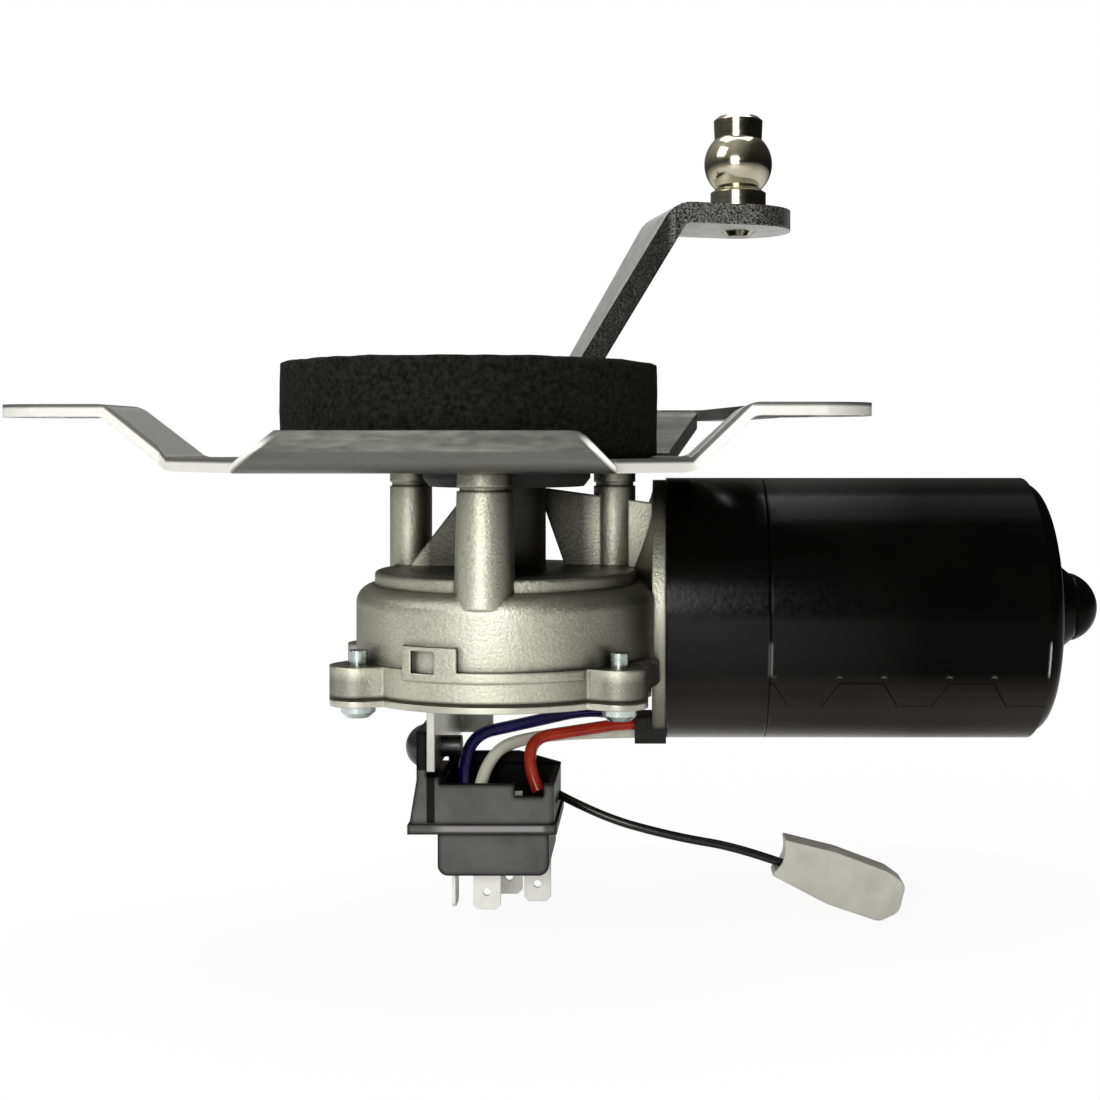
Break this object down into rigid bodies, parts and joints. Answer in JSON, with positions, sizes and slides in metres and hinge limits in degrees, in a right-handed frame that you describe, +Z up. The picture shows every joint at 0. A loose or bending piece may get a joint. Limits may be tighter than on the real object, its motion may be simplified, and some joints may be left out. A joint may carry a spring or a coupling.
{
  "type": "wiper motor",
  "caption": "Windscreen wiper gear motor with a three-eared mounting plate, foam bulkhead seal, cranked arm with ball stud, and wired connector.",
  "frame": {"origin": "on the output shaft's axis, in the plane of the mounting ears' top faces", "axes": "+X along the motor away from the gearbox, +Y away from the connector side to the rear ear, +Z up along the output shaft towards the crank"},
  "size_m": [0.2697, 0.134, 0.1923],
  "materials": {
    "zinc_steel": "zinc plated sheet",
    "foam": "closed-cell foam",
    "screw_zinc": "zinc plated",
    "cast_alloy": "blasted die casting",
    "gasket": "fibre gasket",
    "cover_steel": "zinc plated sheet",
    "screw_blue_zinc": "blue zinc plated",
    "seal_rubber": "moulded rubber",
    "bronze": "sintered bronze",
    "shaft_steel": "ground steel",
    "washer_steel": "plain",
    "spring_steel": "black spring steel",
    "wheel_nylon": "moulded",
    "contact_copper": "stamped",
    "crank_zinc": "zinc plated",
    "nickel": "polished nickel",
    "nut_zinc": "zinc plated",
    "nut_washer_zinc": "zinc plated",
    "carrier_plastic": "moulded",
    "contact_bronze": "spring strip",
    "worm_steel": "hardened steel",
    "laminations": "stacked sheet",
    "enamelled_wire": "enamelled copper",
    "commutator_copper": "turned copper",
    "neck_bronze": "sintered bronze",
    "end_bronze": "sintered bronze",
    "pad_nylon": "moulded",
    "black_paint": "satin black",
    "ring_paint": "satin black",
    "ferrite": "sintered ferrite",
    "rear_bronze": "sintered bronze",
    "retainer_steel": "spring sheet",
    "cap_black": "glossy",
    "motor_screw_zinc": "zinc plated",
    "holder_plastic": "moulded phenolic",
    "carbon": "pressed carbon",
    "brush_spring_steel": "wound wire",
    "bracket_zinc": "zinc plated",
    "rivet_steel": "zinc plated",
    "rivet_black": "moulded",
    "connector_black": "moulded",
    "tinned": "tin plated",
    "grommet_rubber": "moulded rubber",
    "blue_insulation": "extruded",
    "red_insulation": "extruded",
    "white_insulation": "extruded",
    "black_insulation": "extruded",
    "milky_nylon": "translucent moulding",
    "brass_terminal": "stamped"
  },
  "bodies": {
    "gearmotor": {"mounting_plate": "zinc_steel", "foam_seal": "foam", "plate_screws": "screw_zinc", "gear_housing": "cast_alloy", "cover_gasket": "gasket", "gear_cover": "cover_steel", "cover_screws": "screw_blue_zinc", "shaft_seal": "seal_rubber", "output_bushes": "bronze", "contact_carrier": "carrier_plastic", "park_contacts": "contact_bronze", "neck_bearing": "neck_bronze", "worm_end_bush": "end_bronze", "thrust_pad": "pad_nylon", "motor_can": "black_paint", "flux_ring": "ring_paint", "field_magnets": "ferrite", "rear_bearing": "rear_bronze", "bearing_retainer": "retainer_steel", "bearing_cap": "cap_black", "motor_screws": "motor_screw_zinc", "brush_holder": "holder_plastic", "brushes": "carbon", "brush_springs": "brush_spring_steel", "connector_bracket": "bracket_zinc", "bracket_rivets": "rivet_steel", "push_rivet": "rivet_black", "connector_housing": "connector_black", "connector_terminals": "tinned", "wire_grommet": "grommet_rubber", "wire_blue": "blue_insulation", "wire_red": "red_insulation", "wire_white": "white_insulation", "ground_lead": "black_insulation", "ground_connector": "milky_nylon", "ground_terminal": "brass_terminal"},
    "crank": {"output_shaft": "shaft_steel", "shaft_washers": "washer_steel", "shaft_clip": "spring_steel", "worm_wheel": "wheel_nylon", "park_disc": "contact_copper", "crank_arm": "crank_zinc", "ball_stud": "nickel", "crank_nut": "nut_zinc", "nut_washer": "nut_washer_zinc"},
    "armature": {"worm_shaft": "worm_steel", "armature_core": "laminations", "armature_windings": "enamelled_wire", "commutator": "commutator_copper"}
  },
  "joints": [
    {"name": "crank_spin", "type": "hinge", "parent": "gearmotor", "child": "crank", "pos_m": [0, 0, 0], "axis": [0, 0, 1], "continuous": true},
    {"name": "armature_spin", "type": "hinge", "parent": "gearmotor", "child": "armature", "pos_m": [0, 0.028, -0.0513], "axis": [1, 0, 0], "continuous": true}
  ],
  "couplings": [
    {"joint": "armature_spin", "follows": "crank_spin", "ratio": 46}
  ]
}
